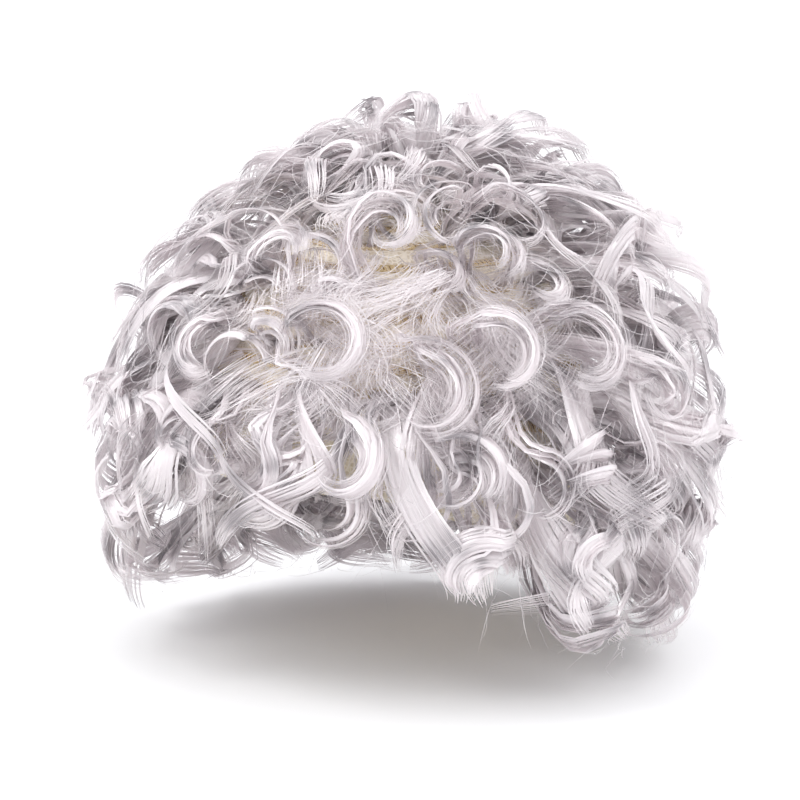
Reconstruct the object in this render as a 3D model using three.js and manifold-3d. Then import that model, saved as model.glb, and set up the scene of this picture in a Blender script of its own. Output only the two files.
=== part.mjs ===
// A curly granny wig: a hollow net cap and seven sewn rows of silver-white curls.
//
// Millimetres, +Z up. The origin is the crown seat, the point inside the cap that rests on the top of
// the head. The face opening looks along -Y and the wearer's left is +X. A "turn" is an angle round
// the head in degrees, 0 at the face and 90 at the wearer's left ear. A "polar" is the angle down
// from the crown in degrees, 90 at the level where the head, or the hair, is widest. A curl's "clock"
// is the angle on its ring as seen from outside, 0 at the top and growing clockwise.

import * as THREE from "three";
import { mergeVertices } from "three/addons/utils/BufferGeometryUtils.js";
import Module from "manifold-3d";

const wasm = await Module();
wasm.setup();

// Driving dimensions

// The head that the cap fits: 542 mm round at its widest level, 84 mm below the crown.
const HEAD = { side: 76, front: 96, back: 96, rise: 84, fall: 97, top: 0, hem: 0.78, shift: 0 };

// The curls' outer form, from its top to the ends of the nape curls. Its top is shifted to the back.
const HAIR = { side: 152, front: 130, back: 160, rise: 145, fall: 112, top: 47, hem: 0.5, shift: 32 };

const CAP_WALL = 1.5;
const SEAT_GAP = 0.6; // between the cap and what is sewn on it
const ROW_GAP = 0.5; // between a curl and the row below it
const PAD_GAP = 1.6; // between the padding of one row and of the next
const STATIONS = 24; // sections round the head, one every 15 degrees

// The cap's edge, as its polar angle at turns from the face to the nape, the same on both sides.
const CAP_EDGE = [
  { turn: 0, polar: 80 },
  { turn: 40, polar: 84 },
  { turn: 66, polar: 112 }, // the tab before the ear
  { turn: 95, polar: 104 }, // the notch over the ear
  { turn: 125, polar: 128 },
  { turn: 180, polar: 143 }, // the nape
];
const CAP_LEVELS = [0.15, 0.32, 0.5, 0.68, 0.85, 1]; // shares of the way from crown to edge
const NECK_POLAR = 175; // how far down the hair is kept clear of the head and neck

// The rows of hair from the crown down. Each is sewn on the cap along the polar angles in seam, and its
// curls stand on the outer form at those in curl, each given at the face and at the nape. from and to
// are the turns that the row covers, with the nape at 180.
const ROWS = [
  { name: "crown_curls", seam: [10, 10], curl: [12, 12], curls: 4, from: 0, to: 360 },
  { name: "top_weft", seam: [28, 31], curl: [30, 33], curls: 9, from: 0, to: 360 },
  { name: "upper_weft", seam: [46, 52], curl: [48, 54], curls: 13, from: 0, to: 360 },
  { name: "temple_weft", seam: [62, 72], curl: [66, 75], curls: 16, from: 0, to: 360 },
  { name: "fringe_weft", seam: [75, 92], curl: [85, 97], curls: 17, from: 0, to: 360 },
  { name: "lower_weft", seam: [90, 114], curl: [106, 119], curls: 13, from: 45, to: 315 },
  { name: "nape_weft", seam: [104, 135], curl: [128, 142], curls: 9, from: 75, to: 285 },
];

// The large curls at the face and over the wearer's left temple, one by one. start is the clock
// where the lock comes onto its ring and sweep how far it goes round.
const FACE_CURLS = [
  { row: "upper_weft", turn: 19, polar: 44, radius: 13, start: -60, sweep: 270, broad: 13 },
  { row: "upper_weft", turn: 45, polar: 49, radius: 19, start: -30, sweep: 200, broad: 19 },
  { row: "upper_weft", turn: -6, polar: 52, radius: 16, start: -90, sweep: 190, broad: 14 },
  { row: "temple_weft", turn: 11, polar: 66, radius: 22, start: -40, sweep: 255, broad: 12 },
  { row: "temple_weft", turn: 33, polar: 73, radius: 20, start: 10, sweep: 215, broad: 14 },
  { row: "temple_weft", turn: 46, polar: 67, radius: 19, start: -10, sweep: 230, broad: 14 },
  { row: "temple_weft", turn: 62, polar: 67, radius: 21, start: 0, sweep: 215, broad: 14 },
  { row: "temple_weft", turn: 78, polar: 76, radius: 12, start: 0, sweep: 300, broad: 15 },
  { row: "temple_weft", turn: -16, polar: 69, radius: 17, start: -30, sweep: -210, broad: 14 },
  { row: "fringe_weft", turn: 19, polar: 84, radius: 18, start: 30, sweep: 215, broad: 14 },
];
const FACE_CURL_ROOM = 31; // between the middle of such a curl and of a usual one

// A curl's usual sizes
const CURL = {
  radius: 16.5, // of its ring, at the middle of the lock
  tighten: 0.66, // the ring's last radius, as a share of its first
  sweep: 275, // degrees that the lock goes round
  broad: 23, // the lock's width along the curl's axis
  thick: 15, // its thickness across the ring
  thin: 0.3, // its least thickness and width, at the root and tip, as a share
  rootBack: 0.6, // how far its root is set back, as a share of its width
  sides: 4,
  ringSteps: 5,
};
// How far a usual curl goes from these sizes and from its place, either way. place, radius, sweep and
// broad are shares; polar and start are degrees.
const CURL_RANGE = { place: 0.12, polar: 2.5, radius: 0.14, start: 50, sweep: 0.1, broad: 0.15 };
const CURL_LEAN = { usual: 7, range: 6 }; // degrees between a curl's axis and straight out
const ROW_SEEDS = 40; // seeds kept for each row, more than it has curls
const ROW_HEIGHT = 40; // of a row's padding, about
const PAD_DEPTH = 23; // from the outer form down to the padding under the curls
const PAD_SHARE = 0.62; // of the hair's thickness, which that depth doesn't pass
const PAD_VALLEY = 3; // how much deeper the padding is between one row and the next
const PAD_STRETCH = 1.8; // how much more a grown padding gains in height than in depth
const ROOT_DEPTH = 30; // from the outer form down to where a lock comes out of the padding
const END_TAPER = 25; // degrees over which a row that stops at the ears thins out
const END_DEPTH = 26; // how much deeper its padding is at the ends

const HAIR_COLOUR = 0xdcd9dc;
const CAP_COLOUR = 0xd9ccb4;

// Small helpers

const radians = THREE.MathUtils.degToRad;
const mix = THREE.MathUtils.lerp;
const smooth = (x) => THREE.MathUtils.smoothstep(x, 0, 1);

// A number from -1 to 1 that is always the same for the same seed.
function vary(seed) {
  const spread = Math.sin(seed * 12.9898 + 4.1414) * 43758.5453;
  return 2 * (spread - Math.floor(spread)) - 1;
}

// 0 at the face and 1 at the nape.
const backness = (turn) => (1 - Math.cos(radians(turn))) / 2;

// The smallest angle between two turns.
const apart = (a, b) => Math.abs(((((a - b + 180) % 360) + 360) % 360) - 180);

// The column of a table at a turn, eased between its rows and mirrored from side to side.
function atTurn(table, column, turn) {
  const away = apart(turn, 0);
  const after = Math.max(1, table.findIndex((row) => row.turn >= away));
  const [low, high] = [table[after - 1], table[after]];
  return mix(low[column], high[column], smooth((away - low.turn) / (high.turn - low.turn)));
}

// How far a form reaches from its middle at its widest level.
function reachOf(form, turn) {
  const cosine = Math.cos(radians(turn));
  const depth = cosine > 0 ? form.front : form.back;
  return 1 / Math.hypot(Math.sin(radians(turn)) / form.side, cosine / depth);
}

// A point on a rounded form, moved out by lift. The form is an ellipsoid above its widest level, of its
// own depth in front and behind and its top shifted back, and below that level it draws in to the share
// of its width in hem.
function onForm(form, turn, polar, lift = 0) {
  const across = Math.sin(radians(polar));
  const width = (reachOf(form, turn) + lift) * (polar > 90 ? mix(form.hem, 1, across) : across);
  const tall = (polar > 90 ? form.fall : form.rise) + lift;
  const height = form.top - form.rise + tall * Math.cos(radians(polar));
  const shift = form.shift * Math.max(0, Math.cos(radians(polar)));
  return new THREE.Vector3(Math.sin(radians(turn)) * width, shift - Math.cos(radians(turn)) * width, height);
}

// A closed skin over rings of points. A ring of one point is a tip; open ends are closed flat.
function loft(rings, loop = false) {
  const points = [];
  const faces = [];
  const starts = rings.map((ring) => points.push(...ring) - ring.length);
  const join = (a, b) => {
    const count = Math.max(rings[a].length, rings[b].length);
    const at = (ring, i) => starts[ring] + (rings[ring].length > 1 ? i % count : 0);
    for (let i = 0; i < count; i++) {
      if (rings[a].length > 1) faces.push(at(a, i), at(b, i), at(a, i + 1));
      if (rings[b].length > 1) faces.push(at(a, i + 1), at(b, i), at(b, i + 1));
    }
  };
  const close = (ring, flip) => {
    if (rings[ring].length < 2) return;
    const middle = new THREE.Vector3();
    rings[ring].forEach((point) => middle.addScaledVector(point, 1 / rings[ring].length));
    const tip = points.push(middle) - 1;
    rings[ring].forEach((point, i) => {
      const pair = [starts[ring] + i, starts[ring] + ((i + 1) % rings[ring].length)];
      faces.push(tip, ...(flip ? pair.reverse() : pair));
    });
  };
  for (let k = 0; k + 1 < rings.length; k++) join(k, k + 1);
  if (loop) {
    join(rings.length - 1, 0);
  } else {
    close(0, false);
    close(rings.length - 1, true);
  }
  const geometry = new THREE.BufferGeometry().setFromPoints(points);
  geometry.setIndex(faces);
  return geometry;
}

// A solid of a closed skin, turned right side out.
function toSolid(geometry) {
  const merged = mergeVertices(geometry, 1e-4);
  const vertProperties = merged.getAttribute("position").array;
  const triVerts = new Uint32Array(merged.index.array);
  const solid = new wasm.Manifold(new wasm.Mesh({ numProp: 3, vertProperties, triVerts }));
  if (solid.volume() > 0) return solid;
  triVerts.reverse();
  return new wasm.Manifold(new wasm.Mesh({ numProp: 3, vertProperties, triVerts }));
}

function toGeometry(solid) {
  const { vertProperties, triVerts } = solid.getMesh();
  const geometry = new THREE.BufferGeometry();
  geometry.setAttribute("position", new THREE.BufferAttribute(vertProperties, 3));
  geometry.setIndex(new THREE.BufferAttribute(triVerts, 1));
  return geometry.toNonIndexed();
}

// The largest of a solid's separate bodies.
function mainBody(solid) {
  return solid.decompose().reduce((most, body) => (body.volume() > most.volume() ? body : most));
}

// The turns of the stations that a row covers.
function stationsOf(row) {
  const count = Math.round(((row.to - row.from) / 360) * STATIONS);
  const whole = row.to - row.from === 360;
  return Array.from({ length: whole ? count : count + 1 }, (unused, i) => row.from + (360 * i) / STATIONS);
}

// The cap

const capEdge = (turn) => atTurn(CAP_EDGE, "polar", turn);
const allRound = stationsOf({ from: 0, to: 360 });

// Rings of points over the part of the head that the cap covers, crown first.
function capRings(lift) {
  const crown = [onForm(HEAD, 0, 0, lift)];
  const ringAt = (share) => allRound.map((turn) => onForm(HEAD, turn, share * capEdge(turn), lift));
  return [crown, ...CAP_LEVELS.map(ringAt)];
}

const capShell = () => loft([...capRings(CAP_WALL), ...capRings(0).reverse()]);

// All that the hair keeps clear of: the cap, and the head and neck below it.
function headroom() {
  const lift = CAP_WALL + SEAT_GAP / 2;
  const below = [0.25, 0.5, 0.75, 1].map((share) =>
    allRound.map((turn) => onForm(HEAD, turn, mix(capEdge(turn), NECK_POLAR, share), lift)),
  );
  return loft([...capRings(lift), ...below]);
}

// The padding of the rows

const seamPolar = (row, turn) => mix(...row.seam, backness(turn));
const curlPolar = (row, turn) => mix(...row.curl, backness(turn));

// The polar angle at a share of a row's height, from halfway to the row above to halfway to the row below.
function acrossRow(rowIndex, polarOf, turn, share) {
  const [above, row, below] = [ROWS[rowIndex - 1], ROWS[rowIndex], ROWS[rowIndex + 1]];
  const own = polarOf(row, turn);
  const top = above ? (polarOf(above, turn) + own) / 2 : 0;
  const last = below ? (polarOf(below, turn) + own) / 2 : 2 * own - top;
  return mix(top, last, share);
}

// How much deeper than usual a row's padding lies near an end of the row.
function endDepth(row, turn) {
  if (row.to - row.from === 360) return 0;
  return END_DEPTH * (1 - smooth(Math.min(turn - row.from, row.to - turn) / END_TAPER));
}

// The hair between the cap and the curls of a row, as a rounded roll along its seam. grow makes it taller
// and fuller, but leaves it its seat on the cap.
function padding(rowIndex, grow) {
  const row = ROWS[rowIndex];
  const onCap = (share) => (turn) => {
    const polar = acrossRow(rowIndex, seamPolar, turn, share);
    return onForm(HEAD, turn, Math.min(capEdge(turn), polar), CAP_WALL + SEAT_GAP);
  };
  const underCurls = (share, deeper) => (turn) => {
    const seat = onCap(share)(turn);
    const outer = onForm(HAIR, turn, acrossRow(rowIndex, curlPolar, turn, share));
    const hair = outer.distanceTo(seat);
    const depth = Math.min(PAD_DEPTH + endDepth(row, turn), PAD_SHARE * hair) + deeper;
    return outer.lerp(seat, depth / hair);
  };
  const margin = (PAD_GAP / 2 - PAD_STRETCH * grow) / ROW_HEIGHT;
  const outside = [
    underCurls(margin, PAD_VALLEY),
    underCurls(0.3, -grow),
    underCurls(0.7, -grow),
    underCurls(1 - margin, PAD_VALLEY),
  ];
  const inside = [onCap(1 - margin), onCap(0.5), onCap(margin)];
  const stations = stationsOf(row);
  if (rowIndex === 0) {
    const rings = [...outside.slice(1), ...inside.slice(0, 2)].map((place) => stations.map(place));
    const top = [onForm(HAIR, 0, 0, grow - PAD_DEPTH)];
    const seat = [onForm(HEAD, 0, 0, CAP_WALL + SEAT_GAP)];
    return toSolid(loft([top, ...rings, seat]));
  }
  const corners = [...outside, ...inside];
  if (stations.length === STATIONS) return toSolid(loft(corners.map((place) => stations.map(place)), true));
  return toSolid(loft(stations.map((turn) => corners.map((place) => place(turn)))));
}

// The curls

// The curls of one row: those given one by one, and the usual ones in the rest of the row.
function curlsOf(rowIndex) {
  const row = ROWS[rowIndex];
  const given = FACE_CURLS.filter((curl) => curl.row === row.name);
  const whole = row.to - row.from === 360;
  const spacing = (row.to - row.from) / (whole ? row.curls : row.curls - 1);
  const usual = Array.from({ length: row.curls }, (unused, i) => {
    const seed = rowIndex * ROW_SEEDS + i;
    const stagger = whole ? 0.5 * (rowIndex % 2) : 0;
    const turn = row.from + spacing * (i + stagger + CURL_RANGE.place * vary(seed));
    const way = vary(seed + 0.3) > 0 ? 1 : -1;
    return {
      turn,
      polar: curlPolar(row, turn) + CURL_RANGE.polar * vary(seed + 0.6),
      radius: CURL.radius * (1 + CURL_RANGE.radius * vary(seed + 0.1)),
      start: CURL_RANGE.start * vary(seed + 0.7),
      sweep: way * CURL.sweep * (1 + CURL_RANGE.sweep * vary(seed + 0.2)),
      broad: CURL.broad * (1 + CURL_RANGE.broad * vary(seed + 0.8)),
    };
  });
  const middle = (curl) => onForm(HAIR, curl.turn, curl.polar);
  const clear = (curl) => FACE_CURLS.every((face) => middle(curl).distanceTo(middle(face)) > FACE_CURL_ROOM);
  return [...given, ...usual.filter(clear)].map((curl, i) => {
    const seed = rowIndex * ROW_SEEDS + i;
    const lean = CURL_LEAN.usual + CURL_LEAN.range * vary(seed + 0.4);
    return { ...curl, lean, roll: 180 * vary(seed + 0.5) };
  });
}

// The middle line of a lock with the two directions across it: out of the padding, then round its ring.
function lockLine(curl) {
  const surface = onForm(HAIR, curl.turn, curl.polar);
  const right = onForm(HAIR, curl.turn + 1, curl.polar).sub(surface).normalize();
  const rise = onForm(HAIR, curl.turn, curl.polar - 1).sub(surface);
  const out = new THREE.Vector3().crossVectors(right, rise).normalize();
  const up = new THREE.Vector3().crossVectors(out, right);
  const lean = radians(curl.lean);
  const tilt = right.clone().multiplyScalar(Math.cos(radians(curl.roll)));
  tilt.addScaledVector(up, Math.sin(radians(curl.roll)));
  const axis = out.clone().multiplyScalar(Math.cos(lean)).addScaledVector(tilt, Math.sin(lean));
  const first = up.clone().addScaledVector(axis, -up.dot(axis)).normalize();
  const second = new THREE.Vector3().crossVectors(first, axis);
  const inset = (curl.radius + CURL.thick / 2) * Math.sin(lean) + (curl.broad / 2) * Math.cos(lean);
  const middle = surface.clone().addScaledVector(out, -inset);

  const onRing = (share) => {
    const clock = radians(curl.start + curl.sweep * share);
    const ray = first.clone().multiplyScalar(Math.cos(clock)).addScaledVector(second, Math.sin(clock));
    const radius = curl.radius * mix(1, CURL.tighten, share);
    return { point: middle.clone().addScaledVector(ray, radius), ray, axis };
  };
  const start = onRing(0);
  const heading = onRing(0.02).point.sub(start.point).normalize();
  const sunk = ROOT_DEPTH + start.point.clone().sub(surface).dot(out);
  const back = CURL.rootBack * curl.broad;
  const root = start.point.clone().addScaledVector(out, -sunk).addScaledVector(heading, -back);
  const ring = Array.from({ length: CURL.ringSteps + 1 }, (unused, i) => onRing(i / CURL.ringSteps));
  return [{ point: root, ray: start.ray, axis: heading.negate() }, ...ring];
}

// One lock of hair, fullest on its ring and narrow at its tip. grow makes it longer and stouter.
function lock(curl, grow) {
  const line = lockLine(curl);
  const last = line.length - 1;
  const beyond = (end, next) => line[end].point.clone().sub(line[next].point).setLength(grow);
  line[0].point.add(beyond(0, 1));
  line[last].point.add(beyond(last, last - 1));
  const rings = line.map(({ point, ray, axis }, k) => {
    const fullness = mix(CURL.thin, 1, Math.sin(Math.PI * mix(0.25, 0.95, k / last)));
    return Array.from({ length: CURL.sides }, (unused, i) => {
      const angle = (2 * Math.PI * (i + 0.5)) / CURL.sides;
      return point
        .clone()
        .addScaledVector(axis, Math.cos(angle) * ((curl.broad / 2) * fullness + grow))
        .addScaledVector(ray, Math.sin(angle) * ((CURL.thick / 2) * fullness + grow));
    });
  });
  const half = Math.ceil(last / 2); // in two halves, so that a tip may run into its own root
  return toSolid(loft(rings.slice(0, half + 1))).add(toSolid(loft(rings.slice(half))));
}

// A row's padding and locks fused. With grow it is the room that the row needs.
function rowSolid(rowIndex, grow) {
  return curlsOf(rowIndex).reduce((solid, curl) => solid.add(lock(curl, grow)), padding(rowIndex, grow));
}

// Assembly

const hairFinish = { color: HAIR_COLOUR, roughness: 0.35, metalness: 0 };
const capFinish = { color: CAP_COLOUR, roughness: 0.9, metalness: 0 };

const wig = new THREE.Group();

function addPiece(name, solid, finish) {
  const mesh = new THREE.Mesh(toGeometry(solid), new THREE.MeshStandardMaterial(finish));
  mesh.name = name;
  wig.add(mesh);
}

addPiece("cap", toSolid(capShell()), capFinish);

// Each row is cut clear of the head and of the rows above it.
let taken = toSolid(headroom());
ROWS.forEach((row, rowIndex) => {
  addPiece(row.name, mainBody(rowSolid(rowIndex, 0).subtract(taken)), hairFinish);
  taken = taken.add(rowSolid(rowIndex, ROW_GAP));
});

export default wig;
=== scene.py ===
import math

import bpy
import numpy as np
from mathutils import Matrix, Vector


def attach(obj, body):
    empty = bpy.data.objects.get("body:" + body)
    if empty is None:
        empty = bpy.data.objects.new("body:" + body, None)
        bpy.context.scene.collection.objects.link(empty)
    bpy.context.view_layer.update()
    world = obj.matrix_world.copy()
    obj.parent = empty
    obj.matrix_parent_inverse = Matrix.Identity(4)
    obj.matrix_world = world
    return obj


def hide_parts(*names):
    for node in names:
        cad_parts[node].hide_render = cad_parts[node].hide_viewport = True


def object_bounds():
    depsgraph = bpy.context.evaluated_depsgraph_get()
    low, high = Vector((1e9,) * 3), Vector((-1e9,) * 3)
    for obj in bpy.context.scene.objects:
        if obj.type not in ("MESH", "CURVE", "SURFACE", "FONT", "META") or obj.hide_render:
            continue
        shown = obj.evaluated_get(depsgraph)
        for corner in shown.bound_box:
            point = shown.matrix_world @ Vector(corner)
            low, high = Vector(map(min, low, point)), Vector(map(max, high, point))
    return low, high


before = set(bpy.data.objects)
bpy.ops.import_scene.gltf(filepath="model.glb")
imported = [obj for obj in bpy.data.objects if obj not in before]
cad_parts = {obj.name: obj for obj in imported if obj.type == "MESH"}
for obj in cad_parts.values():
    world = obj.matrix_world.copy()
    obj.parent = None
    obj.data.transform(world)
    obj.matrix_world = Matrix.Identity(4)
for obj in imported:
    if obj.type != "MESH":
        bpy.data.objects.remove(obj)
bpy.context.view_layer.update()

print("frame loaded:", ", ".join(sorted(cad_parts)))

# Shared shapes, in metres. turn is the angle round the wig in degrees, 0 at the front and 90 at the left;
# polar is the angle down from the crown.
capForm = dict(side=0.076, front=0.096, back=0.096, rise=0.084, fall=0.097, top=0.0, hem=0.78, shift=0.0)
hairForm = dict(side=0.152, front=0.130, back=0.160, rise=0.145, fall=0.112, top=0.047, hem=0.5, shift=0.032)

# seam and curl are polar angles at the front and at the nape
wigRows = [
    dict(node="crown_curls", seam=(10, 10), curl=(12, 12), curls=4, span=(0, 360)),
    dict(node="top_weft", seam=(28, 31), curl=(30, 33), curls=9, span=(0, 360)),
    dict(node="upper_weft", seam=(46, 52), curl=(48, 54), curls=13, span=(0, 360)),
    dict(node="temple_weft", seam=(62, 72), curl=(66, 75), curls=16, span=(0, 360)),
    dict(node="fringe_weft", seam=(75, 92), curl=(85, 97), curls=17, span=(0, 360)),
    dict(node="lower_weft", seam=(90, 114), curl=(106, 119), curls=13, span=(45, 315)),
    dict(node="nape_weft", seam=(104, 135), curl=(128, 142), curls=9, span=(75, 285)),
]

# the large curls at the front, one by one
faceCurls = [
    dict(node="upper_weft", turn=19, polar=44, radius=0.013, start=-60, sweep=270, broad=0.013),
    dict(node="upper_weft", turn=45, polar=49, radius=0.019, start=-30, sweep=200, broad=0.019),
    dict(node="upper_weft", turn=-6, polar=52, radius=0.016, start=-90, sweep=190, broad=0.014),
    dict(node="temple_weft", turn=11, polar=66, radius=0.022, start=-40, sweep=255, broad=0.012),
    dict(node="temple_weft", turn=33, polar=73, radius=0.020, start=10, sweep=215, broad=0.014),
    dict(node="temple_weft", turn=46, polar=67, radius=0.019, start=-10, sweep=230, broad=0.014),
    dict(node="temple_weft", turn=62, polar=67, radius=0.021, start=0, sweep=215, broad=0.014),
    dict(node="temple_weft", turn=78, polar=76, radius=0.012, start=0, sweep=300, broad=0.015),
    dict(node="temple_weft", turn=-16, polar=69, radius=0.017, start=-30, sweep=-210, broad=0.014),
    dict(node="fringe_weft", turn=19, polar=84, radius=0.018, start=30, sweep=215, broad=0.014),
]
usualCurl = dict(radius=0.0165, tighten=0.66, sweep=275, broad=0.023, thick=0.015, room=0.031)
curlRange = dict(place=0.12, polar=2.5, radius=0.14, start=50, sweep=0.1, broad=0.15)


def vary(seed):
    spread = math.sin(seed * 12.9898 + 4.1414) * 43758.5453
    return 2 * (spread - math.floor(spread)) - 1


def mix(low, high, share):
    return low + (high - low) * share


def unit(v):
    return v / np.maximum(np.linalg.norm(v, axis=-1, keepdims=True), 1e-12)


def onForm(form, turn, polar, lift=0.0):
    turn, polar, lift = np.broadcast_arrays(np.radians(turn), np.radians(polar), lift)
    depth = np.where(np.cos(turn) > 0, form["front"], form["back"])
    reach = 1 / np.hypot(np.sin(turn) / form["side"], np.cos(turn) / depth)
    across = np.sin(polar)
    below = polar > np.pi / 2
    width = (reach + lift) * np.where(below, mix(form["hem"], 1, across), across)
    tall = np.where(below, form["fall"], form["rise"]) + lift
    height = form["top"] - form["rise"] + tall * np.cos(polar)
    shift = form["shift"] * np.maximum(0, np.cos(polar))
    return np.stack([np.sin(turn) * width, shift - np.cos(turn) * width, height], axis=-1)


def atRow(polars, turn):
    return mix(polars[0], polars[1], (1 - np.cos(np.radians(turn))) / 2)


# the cap's edge from the front to the nape, with the ear tab and the notch behind it
edgeTurns = (0, 40, 66, 95, 125, 180)
edgePolars = (80, 84, 112, 104, 128, 143)


def fromFront(turn):
    return (np.asarray(turn, float) + 180) % 360 - 180


def capEdge(turn):
    away = np.abs(fromFront(turn))
    after = np.clip(np.searchsorted(edgeTurns, away), 1, len(edgeTurns) - 1)
    turns, polars = np.array(edgeTurns, float), np.array(edgePolars, float)
    share = (away - turns[after - 1]) / (turns[after] - turns[after - 1])
    return mix(polars[after - 1], polars[after], share * share * (3 - 2 * share))


capLift = 0.0022  # where hair leaves the cap's outside
rootPast = 20  # degrees past the cap's edge that the lowest hair may be rooted


# A place in the hair: level is the row, counted from the crown, and share runs from the cap to the outer form
def inHair(turn, level, share):
    turn, level, share = np.broadcast_arrays(np.asarray(turn, float), level, share)
    rows = np.arange(len(wigRows))
    polars = []
    for key in ("seam", "curl"):
        table = np.array([row[key] for row in wigRows], float)
        last = np.maximum(0, level - rows[-1])[..., None] * (table[-1] - table[-2])
        pair = np.stack([np.interp(level, rows, table[:, k]) for k in (0, 1)], axis=-1) + last
        polars.append(atRow((pair[..., 0], pair[..., 1]), turn))
    seat = onForm(capForm, turn, np.minimum(polars[0], capEdge(turn) + rootPast), capLift)
    return mix(seat, onForm(hairForm, turn, polars[1]), share[..., None])


# Strands are flat ribbons with rounded normals, many to a lock
strandMake = dict(
    stemSteps=6,
    ringSteps=14,
    rounding=18,  # degrees that the edges' normals of a single strand turn away
    tipWidth=0.15,
    tipTaper=0.4,  # share of the length
    hair=0.00042,  # across one group of hairs on a ribbon
    seed=7,
)


# points is (strands, steps, 3); facing points roughly out of the wig at each strand's tip
def addStrands(strands, points, facing, widths, tones, paintedBandPhases, rounding=None):
    if rounding is None:
        rounding = np.full(len(points), strandMake["rounding"])
    strands.append((points, facing, widths, tones, paintedBandPhases, np.radians(rounding)))


def countTriangles(strands):
    return sum(2 * batch[0].shape[0] * (batch[0].shape[1] - 1) for batch in strands)


def ribbonSides(points, facing):
    along = unit(np.gradient(points, axis=1))
    steps = points.shape[1]
    side = np.empty_like(points)
    side[:, -1] = unit(np.cross(along[:, -1], facing))
    for k in range(steps - 2, -1, -1):  # carried back from the tip without twisting
        last = side[:, k + 1]
        side[:, k] = unit(last - along[:, k] * np.sum(last * along[:, k], axis=-1, keepdims=True))
    return side, np.cross(side, along)


def strandMesh(name, strands):
    spots, normals, tones, paintedBandPhases, runs, acrosses, corners, maps = [], [], [], [], [], [], [], []
    total = sum(len(batch[0]) for batch in strands)
    columns = math.ceil(math.sqrt(total))
    placed = 0
    first = 0
    for points, facing, widths, tone, beat, turnAway in strands:
        count, steps, _ = points.shape
        side, front = ribbonSides(points, facing)
        run = np.linspace(0, 1, steps)
        taper = np.minimum(1, mix(strandMake["tipWidth"], 1, (1 - run) / strandMake["tipTaper"]))
        half = side * (widths[:, None] * taper[None, :] / 2)[..., None]
        both = np.stack([points - half, points + half], axis=2)
        leanOut = side * np.sin(turnAway)[:, None, None]
        outward = front * np.cos(turnAway)[:, None, None]
        spots.append(both.reshape(-1, 3))
        normals.append(np.stack([outward - leanOut, outward + leanOut], axis=2).reshape(-1, 3))
        tones.append(np.repeat(tone, steps * 2))
        paintedBandPhases.append(np.repeat(beat, steps * 2))
        runs.append(np.tile(np.repeat(run, 2), count))
        hairs = np.stack([np.zeros(count), widths / strandMake["hair"]], axis=-1)
        acrosses.append(np.repeat(hairs[:, None], steps, axis=1).ravel())
        base = first + np.arange(count)[:, None] * steps * 2 + np.arange(steps - 1)[None, :] * 2
        corners.append(np.stack([base, base + 1, base + 3, base + 2], axis=-1).reshape(-1, 4))
        # each strand has its own cell of the map
        cell = placed + np.arange(count)
        u = (cell % columns)[:, None, None] + np.array([0.25, 0.75, 0.75, 0.25])[None, None, :]
        ends = np.stack([run[:-1], run[:-1], run[1:], run[1:]], axis=-1)
        v = (cell // columns)[:, None, None] + 0.1 + 0.8 * ends[None]
        maps.append(np.stack(np.broadcast_arrays(u, v), axis=-1).reshape(-1, 2) / columns)
        placed += count
        first += count * steps * 2
    lists = (spots, normals, tones, paintedBandPhases, runs, acrosses, corners, maps)
    return ribbonObject(name, *map(np.concatenate, lists))


def ribbonObject(name, spots, normals, tones, paintedBandPhases, runs, acrosses, corners, maps):
    mesh = bpy.data.meshes.new(name)
    mesh.vertices.add(len(spots))
    mesh.vertices.foreach_set("co", spots.astype(np.float32).ravel())
    mesh.loops.add(corners.size)
    mesh.loops.foreach_set("vertex_index", corners.astype(np.int32).ravel())
    mesh.polygons.add(len(corners))
    mesh.polygons.foreach_set("loop_start", np.arange(0, corners.size, 4, dtype=np.int32))
    mesh.update(calc_edges=True)
    for key, values in (("tone", tones), ("beat", paintedBandPhases), ("run", runs), ("across", acrosses)):
        mesh.attributes.new(key, "FLOAT", "POINT").data.foreach_set("value", values.astype(np.float32))
    mesh.uv_layers.new(name="OFBake").uv.foreach_set("vector", maps.astype(np.float32).ravel())
    mesh.normals_split_custom_set_from_vertices(unit(normals).astype(np.float32))
    piece = bpy.data.objects.new(name, mesh)
    bpy.context.scene.collection.objects.link(piece)
    return piece


# How the outer curls stand on the form
curlMake = dict(
    seedStep=40,
    usualLean=(12, 72),  # degrees that a curl's axis leans away from straight out
    frontLean=(6, 30),  # the curls along the hairline face outward
    frontFrom=3,  # the first row whose front curls do so
    frontWide=0.45,  # how far round the front goes, as the cosine of the turn
    faceLean=7,
    settleOver=25,  # curls that lean more than this roll out of the wig
    start=(15, 70),  # degrees before the top
    flatUnder=35,  # curls that lean less than this are open
    flatSweep=0.62,  # shares of the curls' full sweep
    rolledSweep=0.82,
    roll=50,  # degrees that a curl's axis turns away from level or upright
    upright=-0.3,  # the lower, the more curls stand upright
    faceOut=0.007,  # how far the outer curls stand out of the form
    usualOut=0.006,
    crownOut=0.009,
)


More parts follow.
